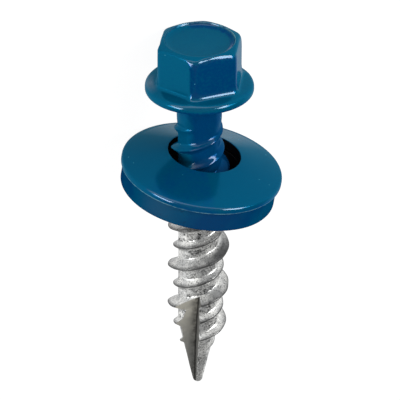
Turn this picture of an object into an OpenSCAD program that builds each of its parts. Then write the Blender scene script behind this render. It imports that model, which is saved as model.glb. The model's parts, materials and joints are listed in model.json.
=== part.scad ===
// Painted hex washer head wood screw with a loose dished sealing washer.
// One rolled steel screw with a twin thread and a notched point, and a
// two-piece washer (domed steel cap, rubber seal) hanging askew on the thread.
// The screw lies on its head and on the shoulder of the washer's cap, with a
// flat of the hex towards the floor.
// Millimetres. Origin: centre of the bearing face under the flange.

/* [Head] */
// Hex width across its flats
hex_af = 6.35; // [5.5:0.05:8]
// Height of the head above the bearing face
head_h = 4.58; // [3.6:0.01:6]
// Tilt of the head's top, higher at the back, degrees
top_tilt = 1; // [0:0.1:3]
// Turn of the hex about the screw's axis, degrees
hex_turn = 7.2; // [-30:0.1:30]
// Height of the flare at the foot of the hex
flare_h = 0.24; // [0.1:0.01:0.5]
// Radial width of the flare at the foot of the hex
flare_w = 0.22; // [0.1:0.01:0.5]
// Drop of the chamfer on the corners of the hex
chamfer_drop = 0.33; // [0.2:0.01:0.8]
// Width of the flat rim around the dish in the top
rim_w = 0.05; // [0.02:0.01:0.3]
// Mouth diameter of the dish in the top
dish_d = 5.6; // [4:0.05:5.9]
// Floor diameter of the dish
dish_floor_d = 5.2; // [3:0.05:5.5]
// Depth of the dish
dish_depth = 0.34; // [0.1:0.01:1]

/* [Flange] */
// Diameter of the flange
flange_d = 8.7; // [7.9:0.05:11]
// Thickness of the flange at its edge
flange_t = 0.66; // [0.5:0.01:1.2]
// Rise of the flange's top from its edge to the hex
flange_rise = 0.24; // [0.05:0.01:0.5]
// Edge rounding of the flange
flange_round = 0.22; // [0.05:0.01:0.24]

/* [Shank and point] */
// Length from the bearing face to the tip
screw_l = 27; // [24:0.5:60]
// Diameter of the plain neck under the head
neck_d = 3.6; // [3.3:0.05:4]
// Length of the plain neck
neck_l = 2.7; // [2:0.1:4]
// Fillet between the neck and the bearing face
neck_fillet = 0.3; // [0.1:0.05:0.5]
// Root diameter of the thread
root_d = 3.26; // [2.8:0.02:3.5]
// Paint film on the root under the head
paint_t = 0.06; // [0.02:0.01:0.1]
// How far down the screw the paint goes
paint_l = 7.4; // [6:0.1:9]
// Half angle of the point's cone, degrees
point_angle = 12.6; // [10:0.1:20]
// Radius of the blunt tip
tip_r = 0.4; // [0.2:0.05:0.6]

/* [Twin thread] */
// Lead: advance of each ridge in one turn
lead = 3.58; // [2.8:0.02:4.4]
// Crest diameter of the high ridge
high_d = 4.96; // [4.6:0.02:5.6]
// Crest diameter of the low ridge
low_d = 4.1; // [3.7:0.02:4.4]
// Flank angle of the high ridge, degrees
high_flank = 30; // [25:1:35]
// Flank angle of the low ridge, degrees
low_flank = 38; // [30:1:42]
// Width of the high ridge's crest
high_crest_w = 0.12; // [0.08:0.01:0.2]
// Width of the low ridge's crest
low_crest_w = 0.14; // [0.08:0.01:0.25]
// Distance from the bearing face to the high crest on the screw's left side
high_start = 5.2; // [4.6:0.05:6]
// Radial growth of the high ridge per millimetre under the neck
high_run_in = 0.19; // [0.12:0.01:0.4]
// Radial growth of the low ridge per millimetre under the neck
low_run_in = 0.34; // [0.2:0.01:0.5]
// Length over which the high crest falls to the root at the point
high_run_out = 3.4; // [2.5:0.1:5]
// Length over which the low crest falls to the root at the point
low_run_out = 2.4; // [1.5:0.1:4]
// Plain length of the point below the thread
plain_point = 2.9; // [2:0.1:4]

/* [Notch] */
// Radius of the milling cutter that leaves the notch
cutter_r = 21; // [14:1:30]
// Distance from the tip to the notch's deepest place
notch_low = 0.7; // [0:0.1:2]
// How far in front of the axis the notch's floor lies at its deepest place
notch_front = 0.03; // [0.02:0.01:0.3]
// Sideways distance of the notch's inner corner from the axis
notch_side = 0.18; // [0.05:0.01:0.4]
// Turn of the notch about the screw's axis, degrees
notch_turn = 10; // [0:1:20]

/* [Washer cap] */
// Diameter of the cap
cap_d = 13.03; // [11.5:0.01:16]
// Thickness of the cap's steel
cap_t = 0.8; // [0.5:0.05:1]
// Height of the dome from the cap's lip to the edge of its hole
cap_h = 1.74; // [1.6:0.01:2.6]
// Height of the upright lip
lip_h = 0.33; // [0.2:0.01:0.8]
// Shoulder radius between dome and lip
shoulder_r = 0.25; // [0.2:0.01:0.8]
// Radial play between the cap's hole and the high crest
bore_play = 0.47; // [0.3:0.01:0.8]

/* [Washer seal] */
// Height of the rubber below the lip
seal_h = 1.83; // [0.8:0.01:2.2]
// Diameter of the rubber below the lip
seal_d = 12.54; // [11:0.01:12.8]
// Sideways slip of the rubber's outer edge
seal_slip = 0.02; // [0.01:0.01:0.2]
// How far the rubber stands inside the cap's hole
seal_step = 0.08; // [0.02:0.01:0.12]
// Rounding of the rubber's lower edge
seal_round = 0.25; // [0.1:0.01:0.6]
// Bond line between rubber and steel
bond_gap = 0.02; // [0.01:0.01:0.05]

/* [How it lies] */
// Distance from the bearing face down to the centre of the washer's hole
washer_drop = 5.69; // [5:0.01:9]
// Sideways tilt of the washer on the thread, degrees
washer_tilt = 8.55; // [6:0.05:10]
// Nod of the washer's upper side towards the head, degrees
washer_nod = 2.35; // [0:0.05:4]
// How far the screw rocks off the middle of a flat as it comes to rest
rest_rock = 2; // [0:0.1:4]
// Gap between the cap's hole and the crest it leans on
hang_gap = 0.15; // [0.05:0.01:0.3]

/* [Hidden] */
$fn = 96;

ARC_STEPS = 6;
OVER = 0.01;
PAST = 1;
LEDGE = 0.04;
RIM_START = 70;
UP = 90;

hex_r = hex_af / 2 / cos(30);
flange_r = flange_d / 2;
hex_foot = flange_t + flange_rise;
rim_r = dish_d / 2 + rim_w;

neck_r = neck_d / 2;
root_r = root_d / 2;
painted_r = root_r + paint_t;
high_r = high_d / 2;
low_r = low_d / 2;
tip_z = -screw_l;
ball_z = tip_z + tip_r;
cone_low_r = tip_r * cos(point_angle);
cone_low_z = ball_z - tip_r * sin(point_angle);
cone_top_z = cone_low_z + (root_r - cone_low_r) / tan(point_angle);
thread_low_z = tip_z + plain_point;

// Radius of the screw's body at height z, without its ridges
function body_r(z) =
    z > -neck_l - neck_fillet
        ? painted_r + (neck_r - LEDGE - painted_r) * min(1, (z + neck_l + neck_fillet) / neck_fillet)
    : z > -paint_l ? painted_r
    : z > cone_top_z ? root_r
    : z > cone_low_z ? cone_low_r + (z - cone_low_z) * tan(point_angle)
    : sqrt(max(0, pow(tip_r, 2) - pow(z - ball_z, 2)));

// Falls from 1 to 0 over the given length above the thread's lower end
function fade(z, length) = min(1, max(0, (z - thread_low_z) / length));

// Crest radius of the high ridge at height z
function high_crest(z) =
    max(body_r(z), min(neck_r - LEDGE + high_run_in * (-neck_l - z), high_r,
        body_r(z) + (high_r - root_r) * fade(z, high_run_out)));

// Crest radius of the low ridge at height z
function low_crest(z) =
    max(body_r(z), min(neck_r - LEDGE + low_run_in * (-neck_l - z), low_r,
        body_r(z) + (low_r - root_r) * fade(z, low_run_out)));

// Points of an arc in the profile plane
function arc(cx, cy, r, a0, a1) =
    [for (i = [0 : ARC_STEPS])
        let (a = a0 + (a1 - a0) * i / ARC_STEPS)
        [cx + r * cos(a), cy + r * sin(a)]];

// Washer sizes
cap_r = cap_d / 2;
bore_r = high_r + bore_play;
seal_bore_r = bore_r - seal_step;
seal_r = seal_d / 2;
lip_z = -cap_h;
seal_z = lip_z - seal_h;
shoulder_z = lip_z + lip_h;
shoulder_x = cap_r - shoulder_r;
dome_slope = atan2(cap_h - lip_h - shoulder_r, shoulder_x - bore_r);

// The cap leans on the thread with the edge of its hole on the left side
rim_edge_z = -washer_drop + bore_r * sin(washer_tilt);
full_crest_z = -neck_l - (high_r - neck_r) / high_run_in;
crest_at_rim = max(high_crest(rim_edge_z),
    high_r - sin(washer_tilt) * max(0, rim_edge_z - full_crest_z));
washer_shift = bore_r * cos(washer_tilt) - crest_at_rim - hang_gap;

// Rest: a flat of the hex faces the floor but for a small rock, and the lower
// of flange and hex touches the same floor as the cap's shoulder. down(d) is
// the floor's direction in the screw's own frame for a pitch of d degrees.
roll = hex_turn - 30 + rest_rock;
function down(d) = [sin(roll) * cos(d), cos(roll) * cos(d), sin(d)];
cap_normal = [sin(washer_tilt),
    -sin(washer_nod) * cos(washer_tilt),
    cos(washer_nod) * cos(washer_tilt)];
cap_centre = [washer_shift, 0, -washer_drop] + shoulder_z * cap_normal;
chamfer_slope = chamfer_drop / (hex_r - rim_r);
// Turn from the flat's middle to where its upper edge touches the floor
function touch_turn(d) =
    asin(min(sin(30), sin(rest_rock) / (chamfer_slope * tan(max(1, d)))));
function touch_r(d) = hex_af / 2 / cos(touch_turn(d));
function touch_z(d) = head_h - chamfer_slope * (touch_r(d) - rim_r)
    + touch_r(d) * cos(roll - rest_rock + touch_turn(d)) * tan(top_tilt);
function reach(centre, normal, r, edge, g) =
    centre * g + r * sqrt(max(0, 1 - pow(normal * g, 2))) + edge;
function head_reach(d) = max(
    reach([0, 0, flange_t - flange_round], [0, 0, 1], flange_r - flange_round,
        flange_round, down(d)),
    touch_r(d) * cos(touch_turn(d) - rest_rock) * cos(d) + touch_z(d) * sin(d));
function rest_error(d) =
    head_reach(d) - reach(cap_centre, cap_normal, shoulder_x, shoulder_r, down(d));
function rest_pitch(low, high, n) =
    let (mid = (low + high) / 2)
    n == 0 ? mid
    : rest_error(mid) > 0 ? rest_pitch(low, mid, n - 1)
    : rest_pitch(mid, high, n - 1);
pitch = rest_pitch(0, 45, 40);

// Frame of the head's top: its middle, with the top's tilt
module at_the_top() {
    translate([0, 0, head_h])
        rotate([top_tilt, 0, 0])
            children();
}

// Hex with its flared foot, chamfered from the rim outwards
module hex_head() {
    intersection() {
        rotate([0, 0, 270 - hex_turn]) {
            translate([0, 0, hex_foot - OVER])
                cylinder(h = head_h - hex_foot + PAST, r = hex_r, $fn = 6);
            translate([0, 0, hex_foot - OVER])
                cylinder(h = flare_h, r1 = hex_r + flare_w, r2 = hex_r, $fn = 6);
        }
        at_the_top()
            rotate_extrude()
                polygon([
                    [0, -head_h],
                    [hex_r + PAST, -head_h],
                    [hex_r + PAST, -chamfer_drop - chamfer_slope * PAST],
                    [rim_r, 0],
                    [0, 0]
                ]);
    }
}

// Flange and neck in one turned profile
module flange_and_neck() {
    rotate_extrude()
        polygon(concat(
            [[0, hex_foot], [hex_r + flare_w, hex_foot]],
            arc(flange_r - flange_round, flange_t - flange_round, flange_round, RIM_START, 0),
            arc(flange_r - flange_round, flange_round, flange_round, 0, -90),
            arc(neck_r + neck_fillet, -neck_fillet, neck_fillet, 90, 180),
            [[neck_r, -neck_l], [0, -neck_l]]
        ));
}

// Dish in the head's top
module dish() {
    at_the_top()
        rotate_extrude()
            polygon([
                [0, -dish_depth],
                [dish_floor_d / 2, -dish_depth],
                [dish_d / 2, 0],
                [dish_d / 2, PAST],
                [0, PAST]
            ]);
}

// Columns of the threaded body around the screw, in degrees from the notch's
// own direction: even steps, and closer ones along the notch's side wall
COLUMN_STEP = 7.5;
WALL_STEPS = 8;
wall_reach = high_r * 1.05;
columns = concat(
    [for (a = [270 : COLUMN_STEP : 577.5]) a],
    [for (i = [1 : WALL_STEPS])
        540 + acos(notch_side / (notch_side * pow(wall_reach / notch_side, i / WALL_STEPS)))]);
column_count = len(columns);

// Lines along the thread, as drops below the high crest within one lead
PLAIN = 0;
HIGH = 1;
LOW = 2;
high_half = high_crest_w / 2;
low_half = low_crest_w / 2;
high_foot = high_half + (high_r - root_r) * tan(high_flank);
low_foot = low_half + (low_r - root_r) * tan(low_flank);
lines = [
    [-high_foot, PLAIN],
    [-high_half, HIGH],
    [high_half, HIGH],
    [high_foot, PLAIN],
    [(high_foot + lead / 2 - low_foot) / 2, PLAIN],
    [lead / 2 - low_foot, PLAIN],
    [lead / 2 - low_half, LOW],
    [lead / 2 + low_half, LOW],
    [lead / 2 + low_foot, PLAIN],
    [(lead * 3 / 2 + low_foot - high_foot) / 2, PLAIN]
];
line_count = len(lines);

// The threaded body reaches a little way up inside the neck
thread_top_z = -neck_l + neck_fillet;
CLOSE = 0.03;
function column_z(j) = -high_start + lead * (columns[j] + notch_turn - 180) / 360;
first_line = line_count * floor((column_z(0) - thread_top_z) / lead - 1);
last_line = line_count * ceil((column_z(column_count - 1) - thread_low_z) / lead + 1);
function line_z(j, k) =
    column_z(j) - lead * floor(k / line_count) - lines[k - line_count * floor(k / line_count)][0];
function line_kind(k) = lines[k - line_count * floor(k / line_count)][1];
top_line = [for (j = [0 : column_count - 1])
    max([for (k = [first_line : last_line]) if (line_z(j, k) > thread_top_z - CLOSE) k])];
low_line = [for (j = [0 : column_count - 1])
    min([for (k = [first_line : last_line]) if (line_z(j, k) < thread_low_z + CLOSE) k])];

// Notch: distance of its floor in front of the axis at height z, as a disc
// cutter leaves it, and the notch's radius in column j at height z
function notch_floor(z) =
    notch_front + cutter_r
    - sqrt(max(0, pow(cutter_r, 2) - pow(z - tip_z - notch_low, 2)));
function notch_r(j, z) =
    columns[j] > 540 && columns[j] < 630
        ? max(notch_side / abs(cos(columns[j])), notch_floor(z) / abs(sin(columns[j])))
        : flange_r;

function thread_point(j, z, kind) =
    let (ridge = kind == HIGH ? high_crest(z) : kind == LOW ? low_crest(z) : body_r(z),
         r = min(ridge, notch_r(j, z)),
         a = columns[j] + notch_turn)
    [r * cos(a), r * sin(a), z];

// Heights of the rings below the thread, down to just above the tip
POINT_RINGS = 4;
point_rings = concat(
    [for (i = [1 : POINT_RINGS])
        thread_low_z + (cone_low_z - thread_low_z) * i / POINT_RINGS],
    [for (i = [1 : ARC_STEPS - 1])
        ball_z - tip_r * sin(point_angle + (90 - point_angle) * i / ARC_STEPS)]);
ring_count = len(point_rings);

// Threaded body, point and notch as one closed skin
module threaded_body() {
    per_column = last_line - first_line + 1;
    thread_points = [for (j = [0 : column_count - 1]) for (k = [first_line : last_line])
        let (z = k <= top_line[j] ? thread_top_z
                 : k >= low_line[j] ? thread_low_z
                 : line_z(j, k),
             kind = k <= top_line[j] || k >= low_line[j] ? PLAIN : line_kind(k))
        thread_point(j, z, kind)];
    ring_points = [for (z = point_rings) for (j = [0 : column_count - 1])
        thread_point(j, z, PLAIN)];
    ring_base = len(thread_points);
    tip = ring_base + len(ring_points);
    function at(j, k) =
        let (c = j % column_count, row = j == column_count ? k - line_count : k)
        c * per_column + min(max(row, top_line[c]), low_line[c]) - first_line;
    function ring(i, j) =
        i < 0 ? at(j, last_line + line_count) : ring_base + i * column_count + j % column_count;
    thread_faces = [for (j = [0 : column_count - 1])
        for (k = [first_line : last_line + line_count])
            for (f = [[at(j, k), at(j + 1, k), at(j + 1, k + 1)],
                      [at(j, k), at(j + 1, k + 1), at(j, k + 1)]])
                if (f[0] != f[1] && f[1] != f[2] && f[2] != f[0]) f];
    ring_faces = [for (i = [-1 : ring_count - 2]) for (j = [0 : column_count - 1])
        for (f = [[ring(i, j), ring(i, j + 1), ring(i + 1, j + 1)],
                  [ring(i, j), ring(i + 1, j + 1), ring(i + 1, j)]]) f];
    tip_faces = [for (j = [0 : column_count - 1])
        [ring(ring_count - 1, j), ring(ring_count - 1, j + 1), tip]];
    top_face = [[for (j = [column_count - 1 : -1 : 0]) at(j, first_line)]];
    polyhedron(
        points = concat(thread_points, ring_points, [[0, 0, tip_z]]),
        faces = concat(thread_faces, ring_faces, tip_faces, top_face),
        convexity = 10);
}

// The whole screw in its own frame, head up
module screw_upright() {
    difference() {
        union() {
            flange_and_neck();
            hex_head();
            threaded_body();
        }
        dish();
    }
}

// Dome, shoulder and lip of the cap, from the hole outwards
function cap_outside() = concat(
    [[bore_r, 0]],
    arc(shoulder_x, shoulder_z, shoulder_r, UP - dome_slope, 0),
    [[cap_r, lip_z]]
);

// Inside of the cap, a sheet's thickness below the dome
dome_drop = cap_t / cos(dome_slope);
function cap_inside() = concat(
    [[cap_r - cap_t, lip_z]],
    [[cap_r - cap_t, -dome_drop - (cap_r - cap_t - bore_r) * tan(dome_slope)]],
    [[bore_r, -dome_drop]]
);

// Domed steel cap in the washer's frame: hole's edge at z = 0
module cap_upright() {
    rotate_extrude()
        polygon(concat(cap_outside(), cap_inside()));
}

// Rubber: fills the cap and stands out below its lip
module seal_upright() {
    fill_r = cap_r - cap_t - bond_gap;
    fill_top = -dome_drop - bond_gap;
    ring_top = lip_z - bond_gap;
    difference() {
        union() {
            rotate_extrude()
                polygon([
                    [0, fill_top],
                    [bore_r, fill_top],
                    [fill_r, fill_top - (fill_r - bore_r) * tan(dome_slope)],
                    [fill_r, ring_top - OVER],
                    [0, ring_top - OVER]
                ]);
            translate([-seal_slip, 0, 0])
                rotate_extrude()
                    polygon(concat(
                        [[0, ring_top], [seal_r, ring_top]],
                        arc(seal_r - seal_round, seal_z + seal_round, seal_round, 0, -90),
                        [[0, seal_z]]
                    ));
        }
        translate([0, 0, seal_z - PAST])
            cylinder(h = cap_h + seal_h + 2 * PAST, r = seal_bore_r);
    }
}

// Washer's frame on the screw
module on_thread() {
    translate([washer_shift, 0, -washer_drop])
        rotate([washer_nod, 0, 0])
            rotate([0, washer_tilt, 0])
                children();
}

// Screw's frame as it lies: +Y towards the head, +Z up
module as_it_lies() {
    rotate([-90 - pitch, 0, 0])
        rotate([0, 0, roll])
            children();
}

// Painted and zinc plated screw
module screw() {
    color([0.0, 0.28, 0.45])
        as_it_lies()
            screw_upright();
}

// Painted steel cap
module washer_cap() {
    color([0.0, 0.3, 0.46])
        as_it_lies()
            on_thread()
                cap_upright();
}

// Rubber seal
module washer_seal() {
    color([0.03, 0.14, 0.24])
        as_it_lies()
            on_thread()
                seal_upright();
}

screw();
washer_cap();
washer_seal();
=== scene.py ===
"""Looks of a painted hex head wood screw with a loose sealing washer.

The screw lies on the edge of its flange, on the upper edge of a flat of its
hex and on the shoulder of the washer's cap. Every shape is worked out in the
screw's own frame (millimetres, x to the right of the photographed side, y away
from the eye, z towards the head, origin in the middle of the bearing face) and
then laid down.
"""

import json
import logging
import math
from dataclasses import dataclass
from enum import Enum

import bpy
import numpy as np
from mathutils import Matrix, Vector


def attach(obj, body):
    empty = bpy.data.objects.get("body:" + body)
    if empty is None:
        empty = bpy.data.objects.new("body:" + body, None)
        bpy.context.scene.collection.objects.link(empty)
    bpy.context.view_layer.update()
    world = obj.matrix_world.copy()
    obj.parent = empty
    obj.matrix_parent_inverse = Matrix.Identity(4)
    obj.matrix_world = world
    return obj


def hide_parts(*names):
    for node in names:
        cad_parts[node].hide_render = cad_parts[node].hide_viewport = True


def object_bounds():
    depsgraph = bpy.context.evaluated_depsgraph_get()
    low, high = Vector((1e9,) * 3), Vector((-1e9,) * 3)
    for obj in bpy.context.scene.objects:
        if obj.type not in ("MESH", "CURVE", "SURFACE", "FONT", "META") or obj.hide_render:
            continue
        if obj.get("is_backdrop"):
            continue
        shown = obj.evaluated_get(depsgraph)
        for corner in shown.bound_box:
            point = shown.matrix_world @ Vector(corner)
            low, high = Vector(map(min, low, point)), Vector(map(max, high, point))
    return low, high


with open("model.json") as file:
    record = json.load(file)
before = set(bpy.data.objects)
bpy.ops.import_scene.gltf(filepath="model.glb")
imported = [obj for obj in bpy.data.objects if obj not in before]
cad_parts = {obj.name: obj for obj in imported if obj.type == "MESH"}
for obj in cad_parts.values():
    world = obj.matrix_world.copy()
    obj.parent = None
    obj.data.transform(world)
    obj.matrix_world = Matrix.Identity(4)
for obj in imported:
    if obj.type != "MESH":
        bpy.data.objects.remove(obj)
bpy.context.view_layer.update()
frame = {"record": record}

LOG = logging.getLogger("screw")
MM = 0.001
TURN = 2.0 * math.pi
Socket = bpy.types.NodeSocket
Finish = bpy.types.Material


# Small maths


def rotation(axis: str, degrees: float) -> np.ndarray:
    """Right-handed turn about one axis.

    Args:
        axis: "x", "y" or "z".
        degrees: Angle of the turn.

    Returns:
        A 3 by 3 matrix for column vectors.
    """
    c, s = math.cos(math.radians(degrees)), math.sin(math.radians(degrees))
    if axis == "x":
        return np.array([[1, 0, 0], [0, c, -s], [0, s, c]])
    if axis == "y":
        return np.array([[c, 0, s], [0, 1, 0], [-s, 0, c]])
    return np.array([[c, -s, 0], [s, c, 0], [0, 0, 1]])


def ramp(value: np.ndarray, start: float, end: float) -> np.ndarray:
    """Rises evenly from 0 at one value to 1 at another, and stays there.

    Args:
        value: The values.
        start: Where it is 0, above or below the end.
        end: Where it is 1.

    Returns:
        The height at each value.
    """
    return np.clip((value - start) / (end - start), 0, 1)


def tent(value: np.ndarray, middle: float, half: float) -> np.ndarray:
    """Is 1 at the middle and falls evenly to 0 at half a width from it.

    Args:
        value: The values.
        middle: Where it is 1.
        half: Half of its width.

    Returns:
        The height at each value.
    """
    return np.clip(1.0 - np.abs(value - middle) / half, 0, 1)


def ease(value: np.ndarray) -> np.ndarray:
    """Eases a rise from 0 to 1 at both ends: 3 x^2 - 2 x^3."""
    return value * value * (3 - 2 * value)


def from_axis(points: np.ndarray) -> np.ndarray:
    """Distance of each point from the z axis."""
    return np.hypot(points[:, 0], points[:, 1])


def from_front(points: np.ndarray) -> np.ndarray:
    """Angle of each point from the photographed side, in degrees, positive to the right."""
    return np.degrees(np.arctan2(points[:, 0], -points[:, 1]))


@dataclass(frozen=True)
class Sector:
    """A stretch round the z axis, in degrees from the photographed side, positive to the right."""

    middle: float
    half: float
    fade: float

    def on(self, points: np.ndarray) -> np.ndarray:
        """How far each point lies inside.

        Args:
            points: Points in the screw's or the washer's frame.

        Returns:
            0 from "half" degrees off the middle, 1 from "fade" degrees further in.
        """
        off = np.abs((from_front(points) - self.middle + 180.0) % 360.0 - 180.0)
        return np.clip((self.half - off) / self.fade, 0, 1)


def smooth_max(a: np.ndarray, b: np.ndarray, k: np.ndarray | float) -> np.ndarray:
    """Larger of two heights, blended by a parabola where they are within k.

    Args:
        a: First height.
        b: Second height.
        k: Width of the blend, in the same unit.

    Returns:
        max(a, b) plus h^2 * k / 4, where h falls from 1 to 0 as |a - b| grows to k.
    """
    h = np.clip(1.0 - np.abs(a - b) / k, 0.0, 1.0)
    return np.maximum(a, b) + h * h * k * 0.25


def ripple(angle: np.ndarray, height: np.ndarray, seed: int) -> np.ndarray:
    """Smooth waviness over the skin of a turned piece, mostly between -1 and 1.

    The sum of a few sines whose whole numbers of waves round the axis keep the
    seam closed, each with a random phase and pitch.

    Args:
        angle: Angle round the axis, in radians.
        height: Place along the axis, in millimetres.
        seed: Seed of the random phases.

    Returns:
        The waviness, as an array of the same shape.
    """
    waves = 9
    rng = np.random.default_rng(seed)
    total = np.zeros(np.broadcast(angle, height).shape)
    for _ in range(waves):
        turns = rng.integers(1, 12)
        pitch = rng.uniform(-2.2, 2.2)
        total += np.sin(turns * angle + pitch * height + rng.uniform(0, TURN))
    return total / math.sqrt(waves)


def rounded(corners: np.ndarray, reaches: np.ndarray, steps: int, mids: int = 1) -> np.ndarray:
    """A polyline whose inner corners are rounded, for many columns at once.

    Each inner corner P becomes the curve (1-t)^2 P0 + 2t(1-t) P + t^2 P1, where
    P0 and P1 lie on its two sides at the given distances from it. Where the
    distances on one side would pass each other, both shrink alike.

    Args:
        corners: Corners, shaped (columns, corners, 2).
        reaches: Distances before and after each corner, shaped (corners, 2) or
            (columns, corners, 2).
        steps: Points on each rounded corner.
        mids: Points added on each straight stretch.

    Returns:
        Points, shaped (columns, points, 2).
    """
    side = corners[:, 1:] - corners[:, :-1]
    length = np.linalg.norm(side, axis=-1)
    wanted = reaches[..., :-1, 1] + reaches[..., 1:, 0]
    shrink = np.minimum(1.0, 0.96 * length / np.maximum(wanted, 1e-9))
    way = side / length[..., None]
    p0 = corners[:, 1:-1] - way[:, :-1] * (reaches[..., 1:-1, 0] * shrink[:, :-1])[..., None]
    p1 = corners[:, 1:-1] + way[:, 1:] * (reaches[..., 1:-1, 1] * shrink[:, 1:])[..., None]
    at = corners[:, 1:-1]
    t = np.linspace(0, 1, steps)[None, None, :, None]
    arcs = (1 - t) ** 2 * p0[:, :, None] + 2 * t * (1 - t) * at[:, :, None] + t**2 * p1[:, :, None]
    starts = np.concatenate([corners[:, None, 0], p1], axis=1)
    ends = np.concatenate([p0, corners[:, None, -1]], axis=1)
    s = np.linspace(0, 1, mids + 2)[None, None, 1:-1, None]
    straights = starts[:, :, None] * (1 - s) + ends[:, :, None] * s
    parts = [corners[:, None, 0], straights[:, 0]]
    for i in range(arcs.shape[1]):
        parts += [arcs[:, i], straights[:, i + 1]]
    parts.append(corners[:, None, -1])
    return np.concatenate(parts, axis=1).reshape(corners.shape[0], -1, 2)


# How the screw lies


@dataclass(frozen=True)
class Attitude:
    """How the screw lies: turned about its own axis, then laid down, both in degrees."""

    roll: float
    pitch: float

    @classmethod
    def from_record(cls, record: dict, roll: float) -> "Attitude":
        """Reads the pitch from the bearing face's axis.

        Args:
            record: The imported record.
            roll: Turn about the screw's axis, in degrees.

        Returns:
            The attitude.
        """
        face = next(m for m in record["mounts"] if m["name"] == "bearing_face")
        axis = face["axis"]
        return cls(roll, math.degrees(math.atan2(axis[2], -axis[1])))

    def matrix(self) -> np.ndarray:
        """Screw's frame to row frame, as a 3 by 3 matrix."""
        return rotation("x", -90.0 - self.pitch) @ rotation("z", self.roll)

    def place(self, points: np.ndarray) -> np.ndarray:
        """Points in millimetres in the screw's frame, as metres in the row frame."""
        return points @ self.matrix().T * MM

    def unplace(self, points: np.ndarray) -> np.ndarray:
        """Points in metres in the row frame, as millimetres in the screw's frame."""
        return points / MM @ self.matrix()

    def direction(self, azimuth: float, elevation: float) -> np.ndarray:
        """Unit vector to a place round the screw.

        Args:
            azimuth: Degrees from the eye's side, positive to the right.
            elevation: Degrees towards the head.

        Returns:
            The direction in the row frame.
        """
        a, e = math.radians(azimuth), math.radians(elevation)
        local = np.array([math.sin(a) * math.cos(e), -math.cos(a) * math.cos(e), math.sin(e)])
        return self.matrix() @ local


# Meshes and the values on their vertices


def new_piece(name: str, points: np.ndarray, faces: list | np.ndarray, smooth: float) -> bpy.types.Object:
    """Makes a mesh object at the origin.

    Args:
        name: Name of the piece.
        points: Vertices in metres, in the row frame.
        faces: Faces as rows of vertex numbers.
        smooth: Angle in degrees above which an edge stays sharp.

    Returns:
        The object.
    """
    mesh = bpy.data.meshes.new(name)
    mesh.from_pydata(points.tolist(), [], faces.tolist() if isinstance(faces, np.ndarray) else faces)
    mesh.validate()
    soften(mesh, smooth)
    piece = bpy.data.objects.new(name, mesh)
    bpy.context.scene.collection.objects.link(piece)
    return piece


def soften(mesh: bpy.types.Mesh, angle: float) -> None:
    """Shades a mesh smooth.

    Args:
        mesh: The mesh.
        angle: Angle in degrees above which an edge stays sharp.
    """
    mesh.polygons.foreach_set("use_smooth", np.ones(len(mesh.polygons), bool))
    mesh.set_sharp_from_angle(angle=math.radians(angle))
    mesh.update()


def vertex_points(mesh: bpy.types.Mesh) -> np.ndarray:
    """Places of a mesh's vertices.

    Args:
        mesh: The mesh.

    Returns:
        The places, one row each.
    """
    place = np.empty(len(mesh.vertices) * 3)
    mesh.vertices.foreach_get("co", place)
    return place.reshape(-1, 3)


def write_values(mesh: bpy.types.Mesh, name: str, values: np.ndarray) -> None:
    """Writes one number on each vertex, for a finish to read.

    Args:
        mesh: The mesh.
        name: Name of the attribute, made if it isn't there.
        values: The numbers.
    """
    known = mesh.attributes.get(name) or mesh.attributes.new(name, "FLOAT", "POINT")
    known.data.foreach_set("value", values.astype(np.float32))


def read_values(mesh: bpy.types.Mesh, name: str) -> np.ndarray:
    """Reads the number that an attribute holds on each vertex.

    Args:
        mesh: The mesh.
        name: Name of the attribute.

    Returns:
        The numbers.
    """
    values = np.empty(len(mesh.vertices))
    mesh.attributes[name].data.foreach_get("value", values)
    return values


def tint_teal_by_facing(piece: bpy.types.Object, lie: Attitude, low: float, soft: float = 0.2) -> None:
    """Writes the teal share of each vertex, from 0 to 1, as painted reflection.

    Surfaces that face towards the head, and a little to the left, turn teal as
    if they mirrored the pale floor, from an upward slope of "low" on.

    Args:
        piece: The painted piece.
        lie: How the screw lies.
        low: How far up a surface has to face before it turns teal at all.
        soft: How gently the teal fades towards the front on round parts.
    """
    fill, full_left = 0.42, 0.6
    mesh = piece.data
    normal = np.empty(len(mesh.vertices) * 3)
    mesh.vertex_normals.foreach_get("vector", normal)
    local = normal.reshape(-1, 3) @ lie.matrix()
    # Painted reflection: teal where the surface faces the head or the left.
    above = ramp(local[:, 2], low, low + fill)
    beside = ramp(-local[:, 0], full_left - soft, full_left)
    write_values(mesh, "film", np.maximum(above, beside))


def turned_faces(columns: int, rows: int) -> list:
    """Faces of a closed turned skin: a pole, rows of rings, and a pole.

    Vertex 0 is the first pole, then come the rings row by row, then the last
    pole. Rings run counter-clockwise seen from the last pole.

    Args:
        columns: Vertices in a ring.
        rows: Number of rings.

    Returns:
        The faces.
    """
    j = np.arange(columns)
    k = (j + 1) % columns
    r = np.arange(rows - 1)[:, None]
    a, b = 1 + r * columns + j, 1 + r * columns + k
    quads = np.stack([a, b, b + columns, a + columns], -1).reshape(-1, 4)
    first = np.stack([np.zeros_like(j), 1 + k, 1 + j], -1)
    top = 1 + (rows - 1) * columns
    last = np.stack([top + j, top + k, np.full_like(j, top + columns)], -1)
    return quads.tolist() + first.tolist() + last.tolist()


def closed_ring_faces(columns: int, rows: int) -> np.ndarray:
    """Faces of a skin that closes both round the axis and round its profile.

    Args:
        columns: Vertices round the axis.
        rows: Vertices round the profile.

    Returns:
        The faces.
    """
    j = np.arange(columns)
    k = (j + 1) % columns
    r = np.arange(rows)[:, None]
    s = (r + 1) % rows
    return np.stack([r * columns + j, r * columns + k, s * columns + k, s * columns + j], -1).reshape(-1, 4)


# Finishes


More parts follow.
